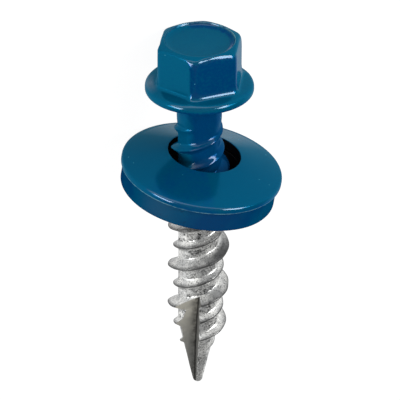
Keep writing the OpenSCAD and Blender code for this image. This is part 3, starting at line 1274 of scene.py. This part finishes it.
    def point_rings(self, angle: np.ndarray) -> np.ndarray:
        """Rings down the cone and round the tip.

        Args:
            angle: Angles of the columns, in radians.

        Returns:
            Points in millimetres, shaped (rings, columns, 3).
        """
        ball_z, low_z = self.ball_z, self.ball_top_z
        down = np.linspace(self.thread_low_z, low_z, 30)[1:]
        turn = np.linspace(math.radians(self.point_angle), math.pi / 2, 12)[1:-1]
        height = np.concatenate([down, ball_z - self.tip_r * np.sin(turn)])[:, None]
        r = np.where(height < low_z + 1e-9, self.body_radius(height), self.radius(angle[None], height))
        return np.stack([r * np.cos(angle), r * np.sin(angle), height + 0 * r], -1)

    def grid(self) -> tuple[np.ndarray, np.ndarray]:
        """The shank before it is notched.

        Grid lines follow the helix, so that crests and roots lie on lines. At
        the upper and lower end they are cut off level, and below come rings
        down the cone and round the tip.

        Returns:
            Points in millimetres, and triangles.
        """
        n, per = self.columns, self.lines
        angle = np.arange(n) * TURN / n
        crest = -self.high_start + self.lead * (angle / TURN - 0.5)
        first = per * int(math.floor((crest[0] - self.top_z) / self.lead - 1))
        last = per * int(math.ceil((crest[-1] - self.thread_low_z) / self.lead + 1))
        k = np.arange(first, last + 1)
        drops = self.line_drops()
        height = crest[:, None] - self.lead * (k // per)[None] - drops[k % per][None]
        close = 0.012
        top = (height > self.top_z - close).sum(1) - 1
        low = height.shape[1] - (height < self.thread_low_z + close).sum(1)
        z = np.clip(height, self.thread_low_z, self.top_z)
        z[np.arange(n), top] = self.top_z
        z[np.arange(n), low] = self.thread_low_z
        r = self.radius(angle[:, None], z)
        helix = np.stack([r * np.cos(angle)[:, None], r * np.sin(angle)[:, None], z], -1).reshape(-1, 3)
        per_column = len(k)

        def at(column: np.ndarray, row: np.ndarray) -> np.ndarray:
            """Numbers of the vertices in a column at a row, held within its ends.

            Args:
                column: The column, or one past the last for the first again.
                row: The row, which there is the row one lead lower.

            Returns:
                The numbers.
            """
            wrapped = column % n
            row = np.where(column == n, row - per, row)
            return wrapped * per_column + np.clip(row, top[wrapped], low[wrapped])

        j, row = np.meshgrid(np.arange(n), np.arange(per_column + per), indexing="ij")
        a, b, c, d = at(j, row), at(j + 1, row), at(j + 1, row + 1), at(j, row + 1)
        faces = [np.stack([a, d, c], -1).reshape(-1, 3), np.stack([a, c, b], -1).reshape(-1, 3)]

        rings = self.point_rings(angle)
        j = np.arange(n)
        after = (j + 1) % n
        chain = [j * per_column + low] + [len(helix) + i * n + j for i in range(len(rings))]
        for above, below in zip(chain[:-1], chain[1:]):
            faces.append(np.stack([above, below, below[after]], -1))
            faces.append(np.stack([above, below[after], above[after]], -1))
        tip = len(helix) + len(rings) * n
        faces.append(np.stack([chain[-1], np.full(n, tip), chain[-1][after]], -1))
        rim = j * per_column + top
        faces.append(np.stack([rim, rim[after], np.full(n, tip + 1)], -1))
        points = np.vstack([helix, rings.reshape(-1, 3), [[0, 0, -self.screw_l], [0, 0, self.top_z]]])
        faces = np.concatenate(faces)
        whole = (faces[:, 0] != faces[:, 1]) & (faces[:, 1] != faces[:, 2]) & (faces[:, 2] != faces[:, 0])
        used, index = np.unique(faces[whole], return_inverse=True)
        return points[used], index.reshape(-1, 3)

    def cutter(self) -> tuple[np.ndarray, list]:
        """The disc cutter that mills the notch.

        Returns:
            Points in millimetres, and faces.
        """
        steps, far = 900, 6.0
        t = np.arange(steps) * TURN / steps
        y = -(self.notch_front + self.cutter_r) + self.cutter_r * np.cos(t)
        z = -self.screw_l + self.notch_low + self.cutter_r * np.sin(t)
        right = np.stack([np.full(steps, -self.notch_side), y, z], -1)
        left = np.stack([np.full(steps, -far), y, z], -1)
        points = np.vstack([right, left]) @ rotation("z", self.notch_turn).T
        i = np.arange(steps)
        k = (i + 1) % steps
        sides = np.stack([i, i + steps, k + steps, k], -1).tolist()
        return points, sides + [i.tolist(), (i[::-1] + steps).tolist()]

    def wall_place(self) -> tuple[tuple, float]:
        """Where the notch's wall is.

        Returns:
            The direction across the notch towards its wall, in the row frame,
            and the wall's place along it in millimetres.
        """
        across = self.lie.matrix() @ rotation("z", self.notch_turn) @ np.array([1.0, 0.0, 0.0])
        return tuple(across), -self.notch_side

    def notch(self, piece: bpy.types.Object) -> None:
        """Cuts the notch out of the piece's mesh.

        Args:
            piece: The shank.
        """
        points, faces = self.cutter()
        tool = new_piece("milling_tool", self.lie.place(points), faces, 30.0)
        cut = piece.modifiers.new("notch", "BOOLEAN")
        cut.operation = "DIFFERENCE"
        cut.solver = "EXACT"
        cut.object = tool
        bpy.context.view_layer.update()
        graph = bpy.context.evaluated_depsgraph_get()
        mesh = bpy.data.meshes.new_from_object(piece.evaluated_get(graph))
        piece.modifiers.clear()
        piece.data = mesh
        bpy.data.objects.remove(tool)

    def marks(self, local: np.ndarray) -> dict[str, np.ndarray]:
        """What the bare steel's finishes read.

        Args:
            local: The vertices in the screw's frame, in millimetres.

        Returns:
            For each attribute's name its value on each vertex.
        """
        angle, z = np.arctan2(local[:, 1], local[:, 0]), local[:, 2]
        drop = self.drop_below_crest(angle, z)
        half = self.lead / 2
        from_high = np.abs((drop + half) % self.lead - half)
        from_low = np.abs(drop - half)
        root = ramp(np.minimum(from_high / self.clean_by_high, from_low / self.clean_by_low), 0.85, 1.15)
        # Painted shade: dark lines along the crests.
        crest = ramp(np.minimum(from_high, from_low), *self.crest_line)
        # Painted shade on the right flanks of the high ridge, strongest near the washer, and a faint grey on
        # all ridges.
        wear_and_painted_light = ramp(np.cos(angle + math.radians(self.shade_turn)), 0.55, 0.97)
        outer = ramp(from_axis(local), self.root_d / 2 + 0.15, self.root_d / 2 + 0.35)
        lower = np.clip((z + 18.0) / 2.5, 0.3, 1)
        return {
            "root": np.where(z > self.thread_low_z, root, 0.75),
            "crest": crest * ramp(z, self.thread_low_z, self.thread_low_z + 1.8),
            "down": ramp(z, self.milled_top_z, -self.screw_l),
            "painted_shade": outer * (self.ridge_dark + self.side_shade * wear_and_painted_light * (from_high < 0.5) * lower),
        }

    def finish_of(self, middles: np.ndarray) -> np.ndarray:
        """Which finish each face has: 0 zinc, 1 paint, 2 milled.

        A face is milled if it lies on the notch's wall or floor, which is the
        cutter's disc grown by a few thousandths, and painted above the paint's
        end.

        Args:
            middles: Middles of the faces in the screw's frame, in millimetres.

        Returns:
            The finish's number for each face.
        """
        turned = middles @ rotation("z", self.notch_turn)
        y = turned[:, 1] + self.notch_front + self.cutter_r
        z = turned[:, 2] + self.screw_l - self.notch_low
        on_wall_side = turned[:, 0] < -self.notch_side + 0.004
        milled = on_wall_side & (np.hypot(y, z) < self.cutter_r + 0.006)
        return np.where(milled, 2, np.where(middles[:, 2] > -self.paint_l, 1, 0))

    def dress(self, piece: bpy.types.Object, paint: Finish, zinc: Finish, milled: Finish) -> None:
        """Gives each face its finish and writes what the finishes read.

        Args:
            piece: The shank.
            paint: Finish of the neck and the upper thread.
            zinc: Finish below the paint.
            milled: Finish of the notch.
        """
        mesh = piece.data
        mesh.materials.clear()
        for material in (zinc, paint, milled):
            mesh.materials.append(material)
        local = self.lie.unplace(vertex_points(mesh))
        for name, values in self.marks(local).items():
            write_values(mesh, name, values)
        middles = np.empty(len(mesh.polygons) * 3)
        mesh.polygons.foreach_get("center", middles)
        index = self.finish_of(self.lie.unplace(middles.reshape(-1, 3)))
        mesh.polygons.foreach_set("material_index", index.astype(np.int32))
        soften(mesh, 42.0)
        # Painted reflection: teal on the flanks that face the head.
        tint_teal_by_facing(piece, self.lie, 0.6, 0.42)
        x, z = local[:, 0], local[:, 2]
        # Painted shade: deep blue on the neck under the head, and on the right of the thread inside the
        # washer's hole.
        film = read_values(mesh, "film") * np.clip((-0.9 - z) / 1.6, 0.15, 1)
        film *= 1.0 - ramp(z, -6.0, -6.5) * ramp(x, 0.8, 1.2)
        write_values(mesh, "film", film)

    def build(self, paint: Finish, zinc: Finish, milled: Finish) -> bpy.types.Object:
        """Makes the shank, notches it, dresses it and hands it to the frame.

        Args:
            paint: Finish of the neck and the upper thread.
            zinc: Finish below the paint.
            milled: Finish of the notch.

        Returns:
            The piece.
        """
        points, faces = self.grid()
        piece = new_piece("screw_shank", self.lie.place(points), faces, 42.0)
        self.notch(piece)
        self.dress(piece, paint, zinc, milled)
        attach(piece, "root")
        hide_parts("screw")
        return piece


@dataclass
class Washer:
    """Sizes shared by the cap and the seal, and how the washer hangs."""

    lie: Attitude
    cap_d: float = 13.03
    cap_t: float = 0.8
    cap_h: float = 1.74
    lip_h: float = 0.33
    shoulder_r: float = 0.25
    bore_play: float = 0.47
    high_d: float = 4.96
    seal_h: float = 1.86
    seal_d: float = 12.5
    seal_slip: float = 0.06
    seal_step: float = 0.08
    seal_round: float = 0.25
    seal_lean: tuple = (-0.0217, -0.0155)
    bond_gap: float = 0.02
    drop: float = 5.69
    tilt: float = 8.55
    nod: float = 2.35
    shift: float = 0.44
    columns: int = 288

    @property
    def bore_r(self) -> float:
        """Radius of the cap's hole."""
        return self.high_d / 2 + self.bore_play

    @property
    def dome_slope(self) -> float:
        """Slope of the dome, in radians."""
        run = self.cap_d / 2 - self.shoulder_r - self.bore_r
        return math.atan2(self.cap_h - self.lip_h - self.shoulder_r, run)

    def hang(self, points: np.ndarray) -> np.ndarray:
        """Hangs the washer on the thread.

        Args:
            points: Points in the washer's frame, in millimetres.

        Returns:
            The points in the row frame, in metres.
        """
        turn = rotation("x", self.nod) @ rotation("y", self.tilt)
        return self.lie.place(points @ turn.T + np.array([self.shift, 0.0, -self.drop]))

    def ring(self, outline: list, wobble: float, seed: int) -> tuple[np.ndarray, np.ndarray]:
        """A turned ring from a closed outline.

        Args:
            outline: Corners as (radius, height, reach of the rounding),
                counter-clockwise.
            wobble: Waviness of the skin, in millimetres.
            seed: Seed of the waviness.

        Returns:
            Points in millimetres in the washer's frame, and faces.
        """
        corners = np.array([(r, z) for r, z, _ in outline])
        start = (corners[0] + corners[-1]) / 2
        loop = np.vstack([[start], corners, [start]])[None]
        reaches = np.array([0.0] + [q for _, _, q in outline] + [0.0])
        line = rounded(loop, np.stack([reaches, reaches], -1), 10, 5)[0][:-1]
        angle = np.arange(self.columns) * TURN / self.columns
        r, z = line[:, 0][:, None], line[:, 1][:, None]
        r = r + wobble * ripple(angle[None], z * 0.6 + r * 0.4, seed)
        z = z + wobble * ripple(angle[None], r * 0.5, seed + 1)
        points = np.stack([r * np.cos(angle), r * np.sin(angle), z], -1).reshape(-1, 3)
        return points, closed_ring_faces(self.columns, len(line))


@dataclass
class Cap(Washer):
    """Domed steel cap of the washer."""

    inset: float = 0.008
    wave: float = 0.003
    # How much deeper blue the painted reflection of the head makes the dome.
    reflected_head_dark: float = 0.5
    glossy_back: Sector = Sector(180.0, 62.0, 30.0)

    def thin_film(self, piece: bpy.types.Object) -> None:
        """Painted reflection: turns the dome deeper blue on the part that the head overhangs, as if it
        mirrored the head's dark underside.

        Args:
            piece: The painted cap.
        """
        around = from_front(self.lie.unplace(vertex_points(piece.data)))
        # Painted reflection of the head, from the front-left to just right of the front.
        shaded = ease(ramp(around, -58.0, -28.0)) * ease(ramp(around, 16.5, 10.5))
        film = read_values(piece.data, "film")
        write_values(piece.data, "film", film * (1.0 - self.reflected_head_dark * shaded))

    def build(self, paint: Finish, hole_finish: Finish) -> bpy.types.Object:
        """Makes the cap, paints all but its hole and hands it to the frame.

        Args:
            paint: Its finish.
            hole_finish: Finish inside its hole.

        Returns:
            The piece.
        """
        slope = math.tan(self.dome_slope)
        r, t = self.cap_d / 2 - self.inset, self.cap_t
        under = t / math.cos(self.dome_slope)
        bend = r - 0.75
        outline = [
            (self.bore_r, -under, 0.05),
            (r - t, -under - (r - t - self.bore_r) * slope, 0.2),
            (r - t, -self.cap_h, 0.06),
            (r, -self.cap_h, 0.08),
            (r, -(r - self.bore_r) * slope, self.shoulder_r * 0.75),
            (bend, -(bend - self.bore_r) * slope * 0.96, 0.5),
            (self.bore_r, 0.0, 0.1),
        ]
        points, faces = self.ring(outline, self.wave, 21)
        piece = new_piece("washer_dome", self.hang(points), faces, 50.0)
        tint_teal_by_facing(piece, self.lie, -0.3)
        self.thin_film(piece)
        # A lighter line along the lip's lower edge.
        off_edge = np.hypot(from_axis(points) - r, points[:, 2] + self.cap_h)
        upper = points[:, 2] > -self.cap_h * 0.6
        write_values(piece.data, "wear_and_painted_light", ramp(off_edge, 0.096, 0.036))
        write_values(piece.data, "glaze", 0.3 * self.glossy_back.on(points) * upper)
        # The hole's wall takes the black rubber finish, so that the hole reads dark.
        middle = points[faces].mean(axis=1)
        inside = (from_axis(middle) < self.bore_r + 0.06) & (middle[:, 2] < -0.06)
        piece.data.materials.append(paint)
        piece.data.materials.append(hole_finish)
        piece.data.polygons.foreach_set("material_index", inside.astype(np.int32))
        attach(piece, "root")
        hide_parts("washer_cap")
        return piece


@dataclass
class Seal(Washer):
    """Rubber ring that fills the cap and stands out below its lip."""

    wave: float = 0.006

    def build(self, rubber: Finish) -> bpy.types.Object:
        """Makes the seal, dresses it and hands it to the frame.

        Below the cap it has slipped to the left, and leans with its depth.

        Args:
            rubber: Its finish.

        Returns:
            The piece.
        """
        slope = math.tan(self.dome_slope)
        fill_r = self.cap_d / 2 - self.cap_t - self.bond_gap
        fill_top = -self.cap_t / math.cos(self.dome_slope) - self.bond_gap
        ring_top = -self.cap_h - self.bond_gap
        seal_r, bore = self.seal_d / 2, self.bore_r - self.seal_step
        seal_z = -self.cap_h - self.seal_h
        outline = [
            (bore, seal_z, 0.12),
            (seal_r, seal_z, self.seal_round),
            (seal_r, ring_top, 0.06),
            (fill_r, ring_top, 0.01),
            (fill_r, fill_top - (fill_r - self.bore_r) * slope, 0.1),
            (bore, fill_top, 0.08),
        ]
        points, faces = self.ring(outline, self.wave, 31)
        angle, radius = np.arctan2(points[:, 1], points[:, 0]), from_axis(points)
        outer = ramp(radius, bore + 0.6, bore + 1.8) * (points[:, 2] < ring_top + 0.05)
        points[:, 0] -= self.seal_slip * outer
        low = np.clip((ring_top - points[:, 2]) / self.seal_h, 0, 1)
        points[:, 2] += low * (points[:, 0] * self.seal_lean[0] + points[:, 1] * self.seal_lean[1])
        piece = new_piece("washer_rubber", self.hang(points), faces, 50.0)
        sprayed = np.clip(radius - seal_r + 1.4 + 0.3 * ripple(angle, 3 * radius, 33), 0, 1)
        write_values(piece.data, "sprayed", sprayed)
        piece.data.materials.append(rubber)
        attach(piece, "root")
        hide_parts("washer_seal")
        return piece


# Studio


@dataclass(frozen=True)
class Lamp:
    """One soft square light, placed round the screw.

    Its angles are in degrees as in Attitude.direction, its distance and size
    in metres, and its radiance in watts for a square metre and steradian.
    """

    name: str
    azimuth: float
    elevation: float
    distance: float
    size: float
    radiance: float


@dataclass
class Studio:
    """Floor, world, lamps and camera.

    The height and the sensor are in millimetres, other lengths in metres, the
    lean is in radians, and names in "px" are in pixels of the photograph.
    """

    lie: Attitude
    view_elevation: float = 29.4
    view_distance: float = 0.5
    view_height: float = -10.07
    focal_px: float = 6225.0
    frame_px: float = 400.0
    left_px: float = 1.25
    lean: float = 0.0065
    sensor: float = 36.0
    ambient: float = 0.5
    ceiling: float = 0.05
    floor_reach: float = 30.0
    floor_gap: float = 2e-6
    floor_matt: float = 0.14
    floor_light: float = 0.6
    floor_glow: float = 0.92
    lamps: tuple = (
        Lamp("soft_left", -50.0, 2.0, 0.30, 0.16, 7.2),
        Lamp("soft_right", 58.0, 20.0, 0.30, 0.18, 7.2),
    )

    def floor(self) -> bpy.types.Object:
        """Plain pale floor under the lowest point, white to the camera but for shadows.

        Returns:
            The floor, which belongs to the stage.
        """
        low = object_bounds()[0][2] - self.floor_gap
        corners = np.array([[x, y, low] for x, y in ((-1, -1), (1, -1), (1, 1), (-1, 1))])
        corners[:, :2] *= self.floor_reach
        piece = new_piece("floor", corners, [[0, 1, 2, 3]], 30.0)
        material = bpy.data.materials.new("pale_floor")
        material.use_nodes = True
        tree = Tree(material.node_tree)
        material.node_tree.nodes.clear()
        matt = tree.add("ShaderNodeBsdfDiffuse", in_Color=(self.floor_matt,) * 3 + (1.0,))
        plain = tree.add("ShaderNodeBsdfDiffuse", in_Color=(self.floor_light,) * 3 + (1.0,))
        glow = tree.add("ShaderNodeEmission", in_Color=(1, 1, 1, 1), in_Strength=self.floor_glow)
        both = tree.add("ShaderNodeAddShader")
        tree.join(matt.outputs[0], both.inputs[0])
        tree.join(glow.outputs[0], both.inputs[1])
        path = tree.add("ShaderNodeLightPath")
        pick = tree.add("ShaderNodeMixShader")
        seen = tree.math("MAXIMUM", path.outputs["Is Camera Ray"], path.outputs["Is Glossy Ray"])
        seen = tree.math("MAXIMUM", seen, path.outputs["Is Transmission Ray"])
        tree.join(seen, pick.inputs[0])
        tree.join(plain.outputs[0], pick.inputs[1])
        tree.join(both.outputs[0], pick.inputs[2])
        out = tree.add("ShaderNodeOutputMaterial")
        tree.join(pick.outputs[0], out.inputs[0])
        piece.data.materials.append(material)
        piece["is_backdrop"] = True
        return piece

    def world(self) -> None:
        """White walls to the eye, a darker ceiling in reflections, softer as a light."""
        world = bpy.data.worlds.new("studio")
        bpy.context.scene.world = world
        world.use_nodes = True
        tree = Tree(world.node_tree)
        world.node_tree.nodes.clear()
        path = tree.add("ShaderNodeLightPath")
        way = tree.add("ShaderNodeSeparateXYZ")
        tree.join(tree.add("ShaderNodeTexCoord").outputs["Generated"], way.inputs[0])
        ceiling = tree.span(way.outputs["Z"], 0.0, 0.45, 1.0, self.ceiling)
        mirrored = tree.math("MAXIMUM", path.outputs["Is Glossy Ray"], path.outputs["Is Transmission Ray"])
        strength = tree.add("ShaderNodeMix", data_type="FLOAT")
        strength.inputs[2].default_value = self.ambient
        tree.join(mirrored, strength.inputs[0])
        tree.join(ceiling, strength.inputs[3])
        shown = tree.add("ShaderNodeMix", data_type="FLOAT")
        shown.inputs[3].default_value = 1.0
        tree.join(path.outputs["Is Camera Ray"], shown.inputs[0])
        tree.join(strength.outputs[0], shown.inputs[2])
        light = tree.add("ShaderNodeBackground", in_Color=(1, 1, 1, 1))
        tree.join(shown.outputs[0], light.inputs["Strength"])
        out = tree.add("ShaderNodeOutputWorld")
        tree.join(light.outputs[0], out.inputs[0])

    def aim(self, thing: bpy.types.Object, place: np.ndarray, target: np.ndarray, up: np.ndarray) -> None:
        """Puts a lamp or camera at a place, looking at the target.

        Args:
            thing: The object to place.
            place: Where it goes, in metres in the row frame.
            target: What it looks at.
            up: Which way its upper side points.
        """
        back = (place - target) / np.linalg.norm(place - target)
        right = np.cross(up, back)
        right /= np.linalg.norm(right)
        over = np.cross(back, right)
        matrix = np.eye(4)
        matrix[:3, :3] = np.stack([right, over, back], 1)
        matrix[:3, 3] = place
        thing.matrix_world = Matrix(matrix.tolist())

    def light(self) -> None:
        """Hangs the lamps."""
        middle = self.lie.place(np.array([0.0, 0.0, self.view_height]))
        for lamp in self.lamps:
            data = bpy.data.lights.new(lamp.name, "AREA")
            data.shape = "SQUARE"
            data.size = lamp.size
            data.energy = lamp.radiance * math.pi * lamp.size**2
            thing = bpy.data.objects.new(lamp.name, data)
            bpy.context.scene.collection.objects.link(thing)
            way = self.lie.direction(lamp.azimuth, lamp.elevation)
            self.aim(thing, middle + way * lamp.distance, middle, np.array([0.0, 0.0, 1.0]))

    def camera(self) -> bpy.types.Object:
        """Looks at the photographed side, from as far above as the photograph does.

        Returns:
            The camera.
        """
        data = bpy.data.cameras.new("camera")
        data.sensor_width = self.sensor
        data.lens = self.focal_px / self.frame_px * self.sensor
        data.clip_start = 0.05
        data.clip_end = 100.0
        eye = bpy.data.objects.new("camera", data)
        bpy.context.scene.collection.objects.link(eye)
        way = self.lie.direction(0.0, self.view_elevation)
        up0 = self.lie.direction(180.0, 90.0 - self.view_elevation)
        right0 = np.cross(up0, way)
        up = math.cos(self.lean) * up0 - math.sin(self.lean) * right0
        right = np.cross(up, way)
        target = self.lie.place(np.array([0.0, 0.0, self.view_height]))
        target = target + right * self.left_px / self.focal_px * self.view_distance
        self.aim(eye, target + way * self.view_distance, target, up)
        bpy.context.scene.camera = eye
        return eye

    def build(self) -> None:
        """Sets up the whole stage."""
        self.camera()
        self.world()
        self.light()
        self.floor()
        bpy.context.scene.view_settings.view_transform = "Standard"


def main() -> None:
    """Builds every piece in order, and the studio round them."""
    logging.basicConfig(level=logging.INFO, format="%(message)s")
    lie = Attitude.from_record(frame["record"], Head.hex_turn - 30.0 + Head.rest_rock)
    paint = GlossPaint("blue_gloss_paint", deep=colour(0, 65, 122), teal=colour(0, 81, 115),
                       gloss_from=0.12, gloss_to=0.17).build()
    thin = GlossPaint("neck_gloss_paint", deep=colour(0, 60, 107), flake=0.26, gloss=0.8,
                      gloss_from=0.09, gloss_to=0.13).build()
    rubber = Rubber("sprayed_rubber").build()
    thick = GlossPaint("thick_gloss_paint", teal=colour(0, 86, 118), gloss_from=0.1, gloss_to=0.135,
                       peel=0.003, streaks=0.25).build()
    head = Head(lie).build(thick)
    shank = Shank(lie)
    zinc = ZincPlate("bright_zinc").build()
    milled = MilledSteel("milled_steel", *shank.wall_place()).build()
    pieces = [
        head,
        shank.build(thin, zinc, milled),
        Cap(lie).build(paint, rubber),
        Seal(lie).build(rubber),
    ]
    Studio(lie).build()
    for piece in pieces:
        LOG.info("%s: %d vertices", piece.name, len(piece.data.vertices))


if __name__ == "__main__":
    main()
